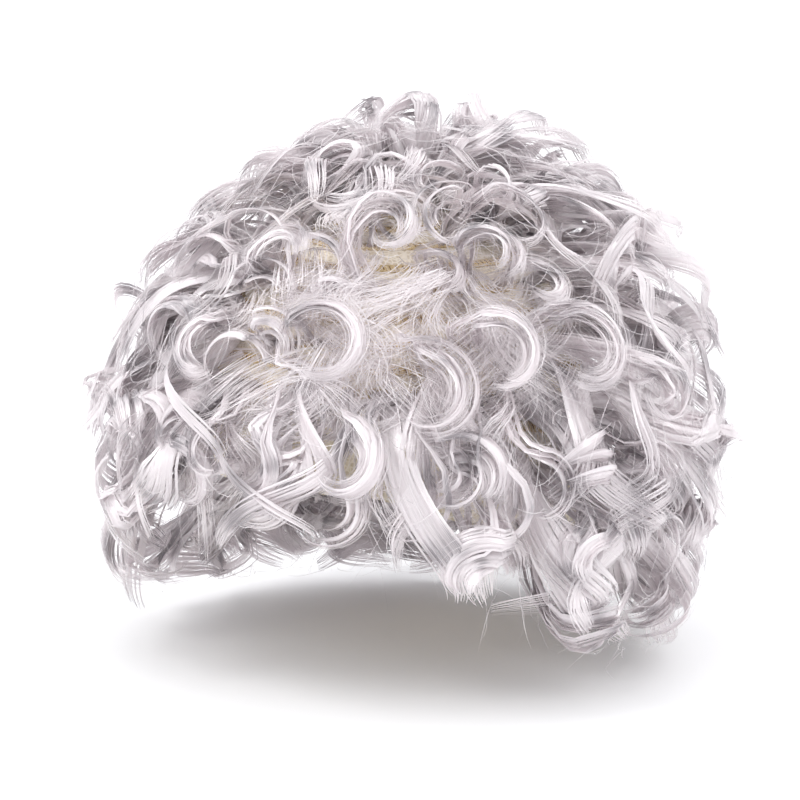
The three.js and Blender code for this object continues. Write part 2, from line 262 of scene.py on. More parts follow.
def curlsOf(index):
    make = curlMake
    row = wigRows[index]
    low, high = row["span"]
    whole = high - low == 360
    spacing = (high - low) / (row["curls"] if whole else row["curls"] - 1)
    usual = []
    for i in range(row["curls"]):
        seed = index * make["seedStep"] + i
        turn = low + spacing * (i + (0.5 * (index % 2) if whole else 0) + curlRange["place"] * vary(seed))
        way = 1 if vary(seed + 0.3) > 0 else -1
        usual.append(dict(
            turn=turn,
            polar=atRow(row["curl"], turn) + curlRange["polar"] * vary(seed + 0.6),
            radius=usualCurl["radius"] * (1 + curlRange["radius"] * vary(seed + 0.1)),
            start=curlRange["start"] * vary(seed + 0.7),
            sweep=way * usualCurl["sweep"] * (1 + curlRange["sweep"] * vary(seed + 0.2)),
            broad=usualCurl["broad"] * (1 + curlRange["broad"] * vary(seed + 0.8)),
            face=False,
        ))
    faces = np.array([onForm(hairForm, c["turn"], c["polar"]) for c in faceCurls])

    def hasRoom(curl):
        away = faces - onForm(hairForm, curl["turn"], curl["polar"])
        return np.linalg.norm(away, axis=1).min() > usualCurl["room"]

    clear = [c for c in usual if hasRoom(c)]
    given = [dict(c, face=True) for c in faceCurls if c["node"] == row["node"]]
    curls = given + clear
    for i, curl in enumerate(curls):
        seed = index * make["seedStep"] + i
        front = index >= make["frontFrom"] and math.cos(math.radians(curl["turn"])) > make["frontWide"]
        lean = mix(*make["frontLean" if front else "usualLean"], (1 + vary(seed + 0.4)) / 2)
        upright = not curl["face"] and vary(seed + 0.15) > make["upright"]
        roll = make["roll"] * vary(seed + 0.5) + (180 if vary(seed + 0.9) > 0 else 0)
        roll = roll + (90 if upright else 0)
        depth = -make["faceOut" if curl["face"] else "usualOut"] - (make["crownOut"] if index == 0 else 0)
        curl.update(lean=make["faceLean"] if curl["face"] else lean, roll=roll, depth=depth)
        settle(curl, (1 + vary(seed + 0.7)) / 2)
        if not curl["face"]:
            curl["sweep"] *= make["flatSweep" if curl["lean"] < make["flatUnder"] else "rolledSweep"]
    return curls


# A curl that leans over rolls out of the wig first, and starts on its inner side
def settle(curl, share):
    second, out = curlFrame(curl)[3:]
    if curl["lean"] < curlMake["settleOver"]:
        return
    way = 1 if second @ out > 0 else -1
    curl["sweep"] = way * abs(curl["sweep"])
    curl["start"] = -way * mix(*curlMake["start"], share)


def curlFrame(curl):
    surface = onForm(hairForm, curl["turn"], curl["polar"])
    right = unit(onForm(hairForm, curl["turn"] + 1, curl["polar"]) - surface)
    rise = onForm(hairForm, curl["turn"], curl["polar"] - 1) - surface
    out = unit(np.cross(right, rise))
    up = np.cross(out, right)
    lean, roll = math.radians(curl["lean"]), math.radians(curl["roll"])
    tilt = right * math.cos(roll) + up * math.sin(roll)
    axis = out * math.cos(lean) + tilt * math.sin(lean)
    first = unit(up - axis * (up @ axis))
    second = np.cross(first, axis)
    inset = (curl["radius"] + usualCurl["thick"] / 2) * math.sin(lean) + curl["broad"] / 2 * math.cos(lean)
    return surface - out * (inset + curl["depth"]), axis, first, second, out


# How the strands of a lock lie: in thin satin sheets, each tilted between the curl's axis and its ray
lockMake = dict(
    tilt=(24, 66),  # degrees, of a lock
    sheetTilt=9,  # degrees that its sheets differ
    sheetHalf=(0.26, 0.52),  # share of the lock's half width
    sheetBulge=30,  # degrees that a sheet's normals turn from the middle to each edge
    sheetThick=0.00022,
    placeAcross=0.70,  # where the sheets lie, as shares of the half width and thickness
    placeDeep=0.45,
    phase=19,  # degrees
    radius=0.07,
    nest=0.56,  # the innermost sheet's radius, as a share of the curl's
    flatNest=0.82,
    openLean=20,  # a curl that leans less is an open C
    openFade=30,  # degrees of lean over which it closes up
    pitch=0.006,
    stemWave=0.0035,
    end=(0.62, 1.0),  # where a sheet ends, as a share of the curl
    fray=0.07,
    cover=1.9,  # how far the ribbons of a sheet overlap
    width=(0.00030, 0.0024),
    wobble=0.00028,
    looseWidth=(0.00014, 0.00026),
    looseWobble=0.0018,
    rootSpread=4.0,  # degrees along the seam
    rootFan=1.2,  # degrees from a sheet's middle to its edge
    rootPolar=0.7,  # degrees up and down
    stemPull=0.8,  # how far the stem keeps its direction at both ends
    edgeFray=0.22,  # at a sheet's edges
    looseWide=1.7,  # how much further the loose strands lie apart
    looseDeep=6,
    loosePhase=14,
    tightPhase=2,
    looseRadius=0.07,
    sheetTone=0.12,
    strandTone=0.05,
    facePale=0.08,
    faceSection=0.92,  # how slim the large curls and the others are
    usualSection=0.84,
)


# sheets of tight ribbons each, and loose fine strands
def addLock(strands, row, curl, sheets, tight, looseCount, rng, ringSteps):
    middle, axis, first, second = curlFrame(curl)[:4]
    make = lockMake
    count = tight * sheets + looseCount
    loose = np.arange(count) >= tight * sheets
    which = np.where(loose, rng.integers(sheets, size=count), np.arange(count) // tight)
    slim = make["faceSection" if curl["face"] else "usualSection"]
    halfBroad, halfThick = slim * curl["broad"] / 2, slim * usualCurl["thick"] / 2

    def perSheet(values):
        return values[which]

    tilt = np.radians(rng.uniform(*make["tilt"]) + perSheet(make["sheetTilt"] * rng.normal(size=sheets)))
    evenly = 2 * (np.arange(count) % tight + 0.5 + 0.3 * rng.uniform(-1, 1, count)) / tight - 1
    evenly = evenly + make["edgeFray"] * rng.normal(size=count) * np.abs(evenly)**3
    place = np.where(loose, rng.uniform(-1, 1, count), evenly)
    half = perSheet(rng.uniform(*make["sheetHalf"], sheets)) * halfBroad
    half = half * np.where(loose, make["looseWide"], 1)
    layer = make["sheetThick"] * np.where(loose, make["looseDeep"], 1) * rng.normal(size=count)
    across = perSheet(make["placeAcross"] * rng.uniform(-1, 1, sheets)) * halfBroad
    deep = perSheet(make["placeDeep"] * rng.normal(size=sheets)) * halfThick
    phase = perSheet(make["phase"] * rng.normal(size=sheets))
    phase = phase + np.where(loose, make["loosePhase"], make["tightPhase"]) * rng.normal(size=count)
    flat = 1 - min(1, max(0, curl["lean"] - make["openLean"]) / make["openFade"])
    nest = perSheet(rng.permutation(np.linspace(mix(make["nest"], make["flatNest"], flat), 1, sheets)))
    scale = nest + perSheet(make["radius"] * rng.normal(size=sheets))
    scale = scale + np.where(loose, make["looseRadius"], 0) * rng.normal(size=count)
    pitch = perSheet(make["pitch"] * rng.normal(size=sheets))
    end = perSheet(rng.uniform(*make["end"], sheets)) * (1 - np.abs(make["fray"] * rng.normal(size=count)))
    wobble = np.where(loose, make["looseWobble"], make["wobble"])

    share = np.linspace(0, 1, ringSteps + 1)[None, :] * end[:, None]
    clock = np.radians(curl["start"] + phase[:, None] + curl["sweep"] * share)
    full = mix(0.3, 1, np.sin(np.pi * mix(0.25, 0.97, np.minimum(1, (1 + 5 * share) / 6))))
    ray = first * np.cos(clock)[..., None] + second * np.sin(clock)[..., None]
    waves = 2 * np.pi * rng.random((count, 2))
    reach = curl["radius"] * scale[:, None] * mix(1, usualCurl["tighten"], share)
    deeper = deep - place * half * np.sin(tilt) + layer * np.cos(tilt)
    reach = reach + deeper[:, None] * full + wobble[:, None] * np.sin(5 * share + waves[:, :1])
    further = across + place * half * np.cos(tilt) + layer * np.sin(tilt)
    aside = further[:, None] * full + pitch[:, None] * (share - 0.5)
    aside = aside + wobble[:, None] * np.sin(6 * share + waves[:, 1:])
    ring = middle + axis * aside[..., None] + ray * reach[..., None]

    # the stem, from the seam on the cap to where the ring starts
    startTurn = math.degrees(math.atan2(ring[:, 0, 0].mean(), -ring[:, 0, 1].mean()))
    rootTurn = startTurn + perSheet(make["rootSpread"] * rng.normal(size=sheets)) + make["rootFan"] * place
    rootPolar = atRow(row["seam"], rootTurn) + make["rootPolar"] * rng.normal(size=count)
    root = onForm(capForm, rootTurn, rootPolar, capLift)
    above = unit(onForm(capForm, rootTurn, rootPolar, 0.01) - root)
    heading = unit(ring[:, 1] - ring[:, 0])
    length = make["stemPull"] * np.linalg.norm(ring[:, 0] - root, axis=-1, keepdims=True)
    t = np.linspace(0, 1, strandMake["stemSteps"] + 1)[:-1][None, :, None]
    stem = ((2 * t**3 - 3 * t**2 + 1) * root[:, None] + (t**3 - 2 * t**2 + t) * (above * length)[:, None]
            + (3 * t**2 - 2 * t**3) * ring[:, :1] + (t**3 - t**2) * (heading * length)[:, None])
    sideways = unit(np.cross(ring[:, 0] - root, above))[:, None]
    sway = np.sin(np.pi * t) * np.sin(2 * np.pi * rng.uniform(0.7, 1.1) * t + 2 * np.pi * rng.random())
    stem = stem + make["stemWave"] * sway * sideways
    points = np.concatenate([stem, ring], axis=1)
    bulge = tilt + np.radians(make["sheetBulge"]) * place + np.radians(1.6) * rng.normal(size=count)
    facing = axis * np.sin(bulge)[:, None] + ray[:, -1] * np.cos(bulge)[:, None]
    closing = np.clip(make["cover"] * 2 * half / tight, *make["width"]) * rng.uniform(0.8, 1.2, count)
    widths = np.where(loose, rng.uniform(*make["looseWidth"], count), closing)
    tones = 0.5 + make["sheetTone"] * perSheet(rng.normal(size=sheets))
    tones = tones + make["strandTone"] * rng.normal(size=count)
    tones = np.clip(tones + (make["facePale"] if curl["face"] else 0), 0, 1)
    rounding = np.where(loose, strandMake["rounding"], make["sheetBulge"] * make["cover"] / tight)
    paintedBandPhases = perSheet(rng.random() + 0.08 * rng.normal(size=sheets)) + 0.012 * rng.normal(size=count)
    addStrands(strands, points, facing, widths, tones, paintedBandPhases, rounding)


# Strand counts, and the smaller locks that fill the room between and under the curls
fillMake = dict(
    usual=(6, 13, 20),  # sheets, ribbons in each, and loose strands
    face=(5, 18, 72),
    small=(3, 9, 14),
    fillers=1.1,  # small locks for each outer curl
    faceDeep=0.34,  # how much deeper small locks lie under the large curls
    crownMore=2.4,  # times as many small locks on the crown
    share=(0.78, 1.0),  # of the way from the cap to the outer form
    radius=(0.013, 0.022),
    sweep=(110, 230),
    broad=(0.016, 0.028),
    lean=(30, 88),
    start=60,  # degrees each way
    level=0.45,  # rows up and down
    crownShare=(0.98, 1.1),
    crownLevel=(-0.7, 0.4),
    thinShare=0.25,  # of the small locks that stay where the hair is thinnest
)
levelPolar = 16  # degrees from one row to the next, about


# Where the hair is thin and the cap shows, and where the large curls at the front lie free
patchMake = dict(
    thin=dict(turn=24, level=2.5, tall=36, inner=6, fade=30),  # tall is degrees for a level
    free=dict(turn=28, level=2.8, tall=40, inner=42, fade=18),
)


# 0 in the patch and 1 away from it
def awayFrom(patch, turn, level):
    away = np.hypot(fromFront(turn) - patch["turn"], patch["tall"] * (level - patch["level"]))
    return np.clip((away - patch["inner"]) / patch["fade"], 0, 1)


def thickness(turn, level):
    return awayFrom(patchMake["thin"], turn, level)


def openness(turn, level):
    return awayFrom(patchMake["free"], turn, level)


def fillCurls(index, rng, count):
    row = wigRows[index]
    low, high = row["span"]
    make = fillMake
    curls = []
    for i in range(count):
        turn = low + (high - low) * (i + rng.uniform(0.1, 0.9)) / count
        level = index + rng.uniform(-make["level"], make["level"])
        share = rng.uniform(*make["share"]) - make["faceDeep"] * (1 - openness(turn, level))
        if index == 0:
            share, level = rng.uniform(*make["crownShare"]), rng.uniform(*make["crownLevel"])
        deep = np.linalg.norm(inHair(turn, level, 1.0) - inHair(turn, level, share))
        curl = dict(
            turn=turn,
            polar=atRow(row["curl"], turn) + levelPolar * (level - index),
            radius=rng.uniform(*make["radius"]),
            start=rng.uniform(-make["start"], make["start"]),
            sweep=rng.choice([-1, 1]) * rng.uniform(*make["sweep"]),
            broad=rng.uniform(*make["broad"]),
            lean=rng.uniform(*make["lean"]),
            roll=rng.uniform(-1, 1) * curlMake["roll"] + rng.choice([0, 90, 180, 270]),
            depth=deep,
            face=False,
        )
        settle(curl, rng.random())
        if rng.random() < make["thinShare"] + (1 - make["thinShare"]) * thickness(turn, level):
            curls.append(curl)
    return curls


# Soft curls above and along the hairline: turn, level, share, radius, start, sweep
softCurls = dict(
    top_weft=[
        (-8, 1.10, 0.90, 0.016, 40, 200),
        (12, 0.90, 0.92, 0.016, -30, 200),
        (32, 1.00, 0.92, 0.016, 30, -200),
        (52, 1.10, 0.92, 0.016, -20, 200),
        (22, 1.55, 0.92, 0.016, -40, 200),
        (38, 1.60, 0.92, 0.017, 30, -200),
        (54, 1.60, 0.95, 0.016, -30, 210),
    ],
    upper_weft=[
        (33, 2.1, 0.82, 0.015, -50, 190),
        (58, 2.2, 0.88, 0.015, 20, 200),
        (1, 2.2, 0.90, 0.015, -70, 190),
        (-9, 2.6, 0.88, 0.014, -50, 200),
        (9, 2.6, 0.80, 0.013, -60, 180),
        (-22, 2.1, 0.92, 0.016, -30, 200),
        (-36, 2.4, 0.94, 0.016, 30, -200),
        (-52, 2.2, 0.94, 0.016, -20, 210),
    ],
    temple_weft=[
        (-3, 3.0, 0.84, 0.015, -40, 200),
        (-11, 3.3, 0.90, 0.016, 40, -200),
        (4, 3.4, 0.80, 0.014, -20, 210),
        (-28, 2.9, 0.92, 0.016, 20, 200),
    ],
    fringe_weft=[
        (-52, 3.9, 0.92, 0.016, -20, 200),
        (-40, 4.3, 0.90, 0.013, 30, -210),
        (-29, 3.8, 0.95, 0.014, -30, 190),
        (-20, 4.4, 0.88, 0.015, 40, 200),
        (-10, 4.0, 0.96, 0.013, -40, -190),
        (-2, 4.5, 0.86, 0.016, 60, 190),
        (7, 4.2, 0.92, 0.014, 20, -200),
        (14, 4.6, 0.90, 0.017, 70, 170),
        (30, 4.4, 0.92, 0.019, 60, 180),
        (38, 4.0, 0.96, 0.016, 30, 210),
        (46, 4.5, 0.90, 0.017, 60, 190),
        (56, 4.1, 0.95, 0.015, 20, 230),
    ],
)


softMake = dict(broad=0.014, lean=12, roll=40, out=0.004)


def softLocks(index):
    row = wigRows[index]
    curls = []
    for turn, level, share, radius, start, sweep in softCurls.get(row["node"], []):
        deep = np.linalg.norm(inHair(turn, level, 1.0) - inHair(turn, level, share))
        polar = atRow(row["curl"], turn) + levelPolar * (level - index)
        curls.append(dict(
            turn=turn, polar=polar, radius=radius, start=start, sweep=sweep,
            broad=softMake["broad"], lean=softMake["lean"], roll=softMake["roll"] * vary(turn),
            depth=deep - softMake["out"], face=False,
        ))
    return curls


# Broad waves of hair: a bed under the curls, and looser ones among them
waveMake = dict(
    bed=dict(
        locks=50,  # for each row all round
        count=22,
        steps=17,
        half=(0.005, 0.010),
        drop=(0.9, 1.7),  # levels that a wave runs down
        drift=15,  # degrees sideways
        sway=(2.5, 5.0),  # degrees to each side
        swing=0.06,  # in and out, as a share of the hair's depth
        beat=(4, 6.5),
        share=(0.54, 0.93),
        cover=1.5,  # how far the ribbons overlap
        clear=0,  # degrees to each side of the front without waves
    ),
    loose=dict(
        locks=17,
        count=26,
        steps=22,
        half=(0.005, 0.0085),
        drop=(1.1, 1.9),
        drift=14,
        sway=(2.5, 5.0),
        swing=0.085,
        beat=(6, 9.5),
        share=(0.84, 0.97),
        cover=1.5,
        clear=70,
    ),
)
lowestLevel = 6.35
clearTurn = 20  # the middle of the part without loose waves
waveBulge = 24  # degrees that a wave's normals turn from the middle to each edge
waveRounding = 6.0


def hairFrame(turns, levels, shares):
    middle = inHair(turns, levels, shares)
    out = unit(inHair(turns, levels, shares + 0.1) - middle)
    return middle, out, unit(np.cross(unit(np.gradient(middle, axis=1)), out))


def addWaves(strands, index, rng, make):
    low, high = wigRows[index]["span"]
    locks = round(make["locks"] * (0.55 + 0.45 * min(1, index / 3)) * (high - low) / 360)
    count = make["count"]
    run = np.linspace(0, 1, make["steps"] + 1)[None, :]
    for i in range(locks):
        turn = low + (high - low) * (i + rng.uniform(0, 1)) / locks
        level = index - 0.4 + 0.5 * rng.uniform(-1, 1)
        drift = make["drift"] * rng.normal()
        drop = min(rng.uniform(*make["drop"]), lowestLevel - level)
        fits = min(openness(turn, level + 0.5), openness(turn + drift, level + drop))
        if rng.random() > fits or abs(fromFront(turn) - clearTurn) < make["clear"]:
            continue
        place = 2 * (np.arange(count)[:, None] + 0.5 + 0.4 * rng.uniform(-1, 1, (count, 1))) / count - 1
        place = place + 0.25 * rng.normal(size=(count, 1)) * np.abs(place)**3
        sway, beat = rng.uniform(*make["sway"]), rng.uniform(*make["beat"])
        begin = 2 * np.pi * rng.random()
        top = rng.uniform(*make["share"])
        levels = level + drop * run * (1 - 0.12 * rng.random((count, 1)))
        turns = turn + drift * run + sway * np.sin(beat * run + begin + 0.15 * place)
        rise = top * (1 - 0.75 * (1 - run)**4)
        shares = rise + make["swing"] * np.sin(beat * run + begin + 1.2 + 0.3 * place)
        middle, out, aside = hairFrame(turns, levels, shares)
        widest = rng.uniform(*make["half"])
        half = widest * np.sin(np.pi * mix(0.2, 0.82, run))
        wander = 0.0005 * np.sin(6 * run + 2 * np.pi * rng.random((count, 1)))
        points = middle + aside * (place * half + wander)[..., None]
        points = points + out * (0.0004 * rng.normal(size=(count, 1)) - 0.0016 * place**2)[..., None]
        bulge = np.radians(waveBulge) * place
        facing = out[:, -1] * np.cos(bulge) + aside[:, -1] * np.sin(bulge)
        tones = np.clip(0.5 + 0.1 * rng.normal() + 0.06 * rng.normal(size=count), 0, 1)
        paintedBandPhases = rng.random() + 0.02 * rng.normal(size=count)
        widths = make["cover"] * 2 * widest / count * rng.uniform(0.8, 1.2, count)
        addStrands(strands, points, facing, widths, tones, paintedBandPhases, np.full(count, waveRounding))


# Thin veils of fine hair over the cap, where the curls leave it open
veilMake = dict(
    veils=(0, 60, 84, 60, 34),  # tried in each row
    hairline=3.4,  # level from which the cap is covered
    hairlineWide=1.5,
    turns=(-62, 95),
    # paler than the locks, to brighten the veils in the shade under the curls: painted fill light
    tone=0.78,
    sway=16,  # degrees
    count=32,
    steps=10,
    half=(0.005, 0.011),
    drop=(0.4, 1.2),
    drift=(-30, 16),  # degrees, mostly to the wig's right
    share=(0.12, 0.66),
    width=(0.00018, 0.00036),
)


def addVeils(strands, index, rng):
    make = veilMake
    run = np.linspace(0, 1, make["steps"] + 1)[None, :]
    for i in range(make["veils"][index]):
        turn = rng.uniform(*make["turns"])
        level = index + rng.uniform(-0.5, 0.5)
        wanted = (1 - openness(turn, level + 0.4)) * mix(0.62, 1, thickness(turn, level + 0.4))
        if rng.random() > (1 if level > make["hairline"] else wanted):
            continue
        count = make["count"]
        place = rng.uniform(-1, 1, (count, 1))
        drift = rng.uniform(*make["drift"]) + 2.5 * rng.normal(size=(count, 1))
        sway = rng.uniform(-make["sway"], make["sway"]) + 1.2 * rng.normal(size=(count, 1))
        drop = rng.uniform(*make["drop"]) * (1 + 0.12 * rng.normal(size=(count, 1)))
        levels = level + drop * run + 0.12 * np.sin(4 * run + 6 * rng.random() + 0.3 * place)
        turns = turn + drift * run + sway * np.sin(np.pi * run)
        rise = np.sort(rng.uniform(*make["share"], 2))
        shares = 0.03 + mix(rise[0], rise[1], run) * np.minimum(1, 3 * run)
        shares = shares + 0.05 * rng.normal(size=(count, 1)) * run
        middle, out, aside = hairFrame(turns, levels, shares)
        half = rng.uniform(*make["half"]) * mix(0.7, 1.1, run)
        points = middle + aside * (place * half)[..., None]
        facing = unit(out[:, -1] + 0.15 * rng.normal(size=(count, 3)))
        tones = np.clip(make["tone"] + 0.07 * rng.normal(size=count), 0, 1)
        paintedBandPhases = rng.random() + 0.03 * rng.normal(size=count)
        wide = make["hairlineWide"] if level > make["hairline"] else 1
        addStrands(strands, points, facing, wide * rng.uniform(*make["width"], count), tones, paintedBandPhases)


# Fine hair that lies close to the cap, and fine loose hair over the curls
wispMake = dict(
    under=dict(
        count=240, share=(0.02, 0.30), length=(0.020, 0.045), bend=2.2, width=(0.00018, 0.00035), steps=8,
    ),
    over=dict(
        count=330, share=(0.80, 1.03), length=(0.018, 0.050), bend=3.4, width=(0.00012, 0.00024), steps=10,
    ),
)
levelTall = 0.036  # metres from one row to the next, about


def addWisps(strands, index, rng, make):
    low, high = wigRows[index]["span"]
    count = round(make["count"] * (0.3 + 0.7 * min(1, index / 3)) * (high - low) / 360)
    turn = rng.uniform(low, high, (count, 1))
    level = index + rng.uniform(-0.5, 0.5, (count, 1))
    run = np.linspace(0, 1, make["steps"] + 1)[None, :]
    length = rng.uniform(*make["length"], (count, 1))
    way = rng.normal(size=(count, 1)) * 1.1 + make["bend"] * rng.normal(size=(count, 1)) * run
    step = length / make["steps"]
    down = np.cumsum(np.cos(way) * step, axis=1) - np.cos(way[:, :1]) * step
    aside = np.cumsum(np.sin(way) * step, axis=1) - np.sin(way[:, :1]) * step
    girth = np.linalg.norm(inHair(turn, level, 0.9)[..., :2], axis=-1)
    turns = turn + np.degrees(aside / np.maximum(0.03, girth))
    begin, finish = np.sort(rng.uniform(*make["share"], (2, count)), axis=0)
    shares = mix(begin[:, None], finish[:, None], run) + 0.03 * np.sin(5 * run + 6 * turn)
    levels = np.minimum(level + down / levelTall, lowestLevel + 0.1 * rng.random((count, 1)))
    points = inHair(turns, levels, shares)
    facing = unit(points[:, -1] - inHair(turns[:, -1], levels[:, -1], shares[:, -1] - 0.2))
    facing = unit(facing + 0.6 * rng.normal(size=facing.shape))
    tones = np.clip(0.6 + 0.2 * rng.normal(size=count), 0, 1)
    addStrands(strands, points, facing, rng.uniform(*make["width"], count), tones, rng.random(count))


def makeRow(index):
    row = wigRows[index]
    strands = []

    def chance(*kind):  # random numbers for each kind of hair
        return np.random.default_rng([strandMake["seed"], index, *kind])

    curls = curlsOf(index)
    for i, curl in enumerate(curls):
        kind = "face" if curl["face"] else "usual"
        ringSteps = strandMake["ringSteps"] + (4 if curl["face"] else 0)
        addLock(strands, row, curl, *fillMake[kind], chance(0, i), ringSteps)
    fillers = fillMake["fillers"] * (fillMake["crownMore"] if index < 2 else 1)
    small = fillCurls(index, chance(1), round(fillers * row["curls"]))
    small += softLocks(index)
    for i, curl in enumerate(small):
        addLock(strands, row, curl, *fillMake["small"], chance(2, i), strandMake["ringSteps"] - 2)
    addWaves(strands, index, chance(3), waveMake["bed"])
    addWaves(strands, index, chance(4), waveMake["loose"])
    if 1 <= index <= 4:
        addVeils(strands, index, chance(5))
    addWisps(strands, index, chance(6), wispMake["under"])
    addWisps(strands, index, chance(7), wispMake["over"])
    piece = strandMesh("hair_" + row["node"], strands)
    piece.data.materials.append(silverHair)
    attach(piece, "root")
    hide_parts(row["node"])
    print(row["node"], "curls:", len(curls), "triangles:", countTriangles(strands))
    return countTriangles(strands)


# The cap: a smooth net shell with a bound edge
capMake = dict(wall=0.0015, turns=120, levels=20, edge=0.006, edgeOut=0.0008, edgeIn=0.0007)


def seamPolar(turn, level):
    rows = np.arange(len(wigRows))
    table = np.array([row["seam"] for row in wigRows], float)
    pair = [np.interp(level, rows, table[:, k]) for k in (0, 1)]
    return atRow(pair, turn)


def closedMesh(rings, loop=False):
    count, across, _ = rings.shape
    a = np.arange(count if loop else count - 1)[:, None]
    b = np.arange(across)[None, :]
    after, beside = (a + 1) % count, (b + 1) % across
    here, there = a * across, after * across
    quads = np.stack([here + b, here + beside, there + beside, there + b], axis=-1)
    return rings.reshape(-1, 3), quads.reshape(-1, 4)


def meshPiece(name, spots, faces, smooth=True):
    mesh = bpy.data.meshes.new(name)
    mesh.from_pydata(spots.tolist(), [], [list(face) for face in faces])
    mesh.polygons.foreach_set("use_smooth", np.full(len(mesh.polygons), smooth))
    mesh.update()
    piece = bpy.data.objects.new(name, mesh)
    bpy.context.scene.collection.objects.link(piece)
    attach(piece, "root")
    return piece


def makeCap():
    make = capMake
    turns = np.arange(make["turns"]) * 360 / make["turns"]
    edge = capEdge(turns)
    shares = np.linspace(0, 1, make["levels"] + 1)[1:]
    bound = 1 - make["edge"] / (capForm["rise"] * np.radians(edge.mean()))
    shares = np.sort(np.append(shares[shares < bound - 0.02], [bound - 0.012, bound, mix(bound, 1, 0.5), 1]))
    inBand = np.clip((shares - bound + 0.012) / 0.012, 0, 1)

    def ringsAt(lift, extra):
        pairs = zip(shares, inBand)
        return [onForm(capForm, turns, share * edge, lift + extra * band) for share, band in pairs]

    outside = ringsAt(make["wall"], make["edgeOut"])
    inside = ringsAt(0, -make["edgeIn"])
    rim = onForm(capForm, turns, edge + 0.8, make["wall"] / 2)  # the rounded lower edge
    rings = np.array(outside + [rim] + inside[::-1])
    spots, quads = closedMesh(rings)
    quads = quads[:, ::-1]
    last = len(spots)
    tops = [onForm(capForm, 0, 0, make["wall"]), onForm(capForm, 0, 0, 0)]
    spots = np.vstack([spots, tops])
    i = np.arange(make["turns"])
    j = (i + 1) % make["turns"]
    base = last - make["turns"]
    fans = [list(f) for f in np.stack([np.full_like(i, last), i, j], axis=-1)]
    fans += [list(f) for f in np.stack([np.full_like(i, last + 1), base + j, base + i], axis=-1)]
    cap = meshPiece("cap_net", spots, [list(q) for q in quads] + fans)
    cap.data.materials.append(capNet)
    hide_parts("cap")
    print("cap triangles:", 2 * len(quads) + len(fans))


# The tapes that the rows of hair are sewn to, and their stitches
weftMake = dict(
    levels=np.arange(0.0, 6.6, 0.5),
    tall=0.0042, thick=0.0007, stations=144, clear=2.5,
    stitch=0.0022, stitchWide=0.00042, spacing=0.0029, slant=24,
)


def weftRuns():
    turns = np.linspace(-180, 180, weftMake["stations"] + 1)
    for level in weftMake["levels"]:
        polar = seamPolar(turns, level)
        inside = polar < capEdge(turns) - weftMake["clear"]
        if inside.all():
            yield turns[:-1], polar[:-1], True
            continue
        behind = np.roll(inside[:-1], weftMake["stations"] // 2)  # the nape in the middle of the list
        shifted = np.roll(turns[:-1], weftMake["stations"] // 2) % 360
        run = np.flatnonzero(behind)
        if len(run) > 3 and np.all(np.diff(run) == 1):
            yield shifted[run], seamPolar(shifted[run], level), False


def makeWefts():
    make = weftMake
    tapeSpots, tapeFaces, threadSpots, threadFaces = [], [], [], []
    first = threadFirst = 0
    for turns, polars, whole in weftRuns():
        high = np.degrees(make["tall"] / 2 / capForm["rise"])
        low, top = capMake["wall"] + 0.0001, capMake["wall"] + make["thick"]
        section = [(-1, low), (-0.9, top), (0, top + 0.0002), (0.9, top), (1, low)]
        rings = np.stack([onForm(capForm, turns, polars + high * k, lift) for k, lift in section], axis=1)
        spots, quads = closedMesh(rings, whole)
        faces = [list(q + first) for q in quads]
        if not whole:
            faces.append(list(first + np.arange(len(section))))
            faces.append(list(first + len(spots) - 1 - np.arange(len(section))))
        tapeSpots.append(spots)
        tapeFaces += faces
        first += len(spots)

        # slanted stitches along the tape
        places = onForm(capForm, turns, polars, top)
        steps = np.linalg.norm(np.diff(places, axis=0), axis=1)
        far = np.concatenate([[0], np.cumsum(steps)])
        marks = np.arange(make["spacing"], far[-1] - make["spacing"], make["spacing"])
        at = np.interp(marks, far, np.unwrap(turns, period=360))
        polar = np.interp(marks, far, polars)
        for turn, middle in zip(at, polar):
            threadSpots.append(stitch(turn, middle, top + 0.0001))
            threadFaces += [[corner + threadFirst for corner in face] for face in stitchFaces]
            threadFirst += len(threadSpots[-1])
    tapes = meshPiece("weft_tapes", np.vstack(tapeSpots), tapeFaces)
    tapes.data.materials.append(weftTape)
    threads = meshPiece("weft_stitches", np.vstack(threadSpots), threadFaces)
    threads.data.materials.append(brownThread)
    print("wefts:", len(tapeFaces), "tape faces,", len(threadFaces), "stitch faces")


# three little square sections, sunk at the ends
stitchFaces = []
for k in (0, 4):
    for i in range(4):
        beside = (i + 1) % 4
        stitchFaces.append([k + i, k + beside, k + 4 + beside, k + 4 + i])
stitchFaces += [[3, 2, 1, 0], [8, 9, 10, 11]]


def stitch(turn, polar, lift):
    make = weftMake
    half, wide = make["stitch"] / 2, make["stitchWide"] / 2
    middle = onForm(capForm, turn, polar, lift)
    right = unit(onForm(capForm, turn + 0.5, polar, lift) - middle)
    down = unit(onForm(capForm, turn, polar + 0.5, lift) - middle)
    out = np.cross(down, right)
    slant = math.radians(make["slant"])
    along = down * math.cos(slant) + right * math.sin(slant)
    aside = np.cross(out, along)
    rows = []
    for k, rise in ((-1, 0.0), (0, 0.00025), (1, 0.0)):
        base = middle + along * half * k + out * rise
        rows += [base - aside * wide, base - out * wide * 0.6, base + aside * wide, base + out * wide]
    return np.array(rows)


# Materials
def newMaterial(name):
    made = bpy.data.materials.new(name)
    made.use_nodes = True
    tree = made.node_tree
    return made, tree, tree.nodes["Principled BSDF"]


silverMake = dict(
    # the dark end is reached mostly in the painted shade bands
    dark=(0.42, 0.39, 0.41),
    middle=(0.80, 0.757, 0.772),
    pale=(0.94, 0.90, 0.912),
    middleAt=0.38,  # where the middle colour lies between the others
    lighter=0.17,
    paintedBands=0.40,  # painted highlight bands along each lock, each with a painted shade band beside it
    paintedBandRate=1.5,
    metal=0.26,
    rough=(0.38, 0.20),
    streak=0.50,
    relief=0.5,
    through=0.44,  # share of the light that passes through the hair
)


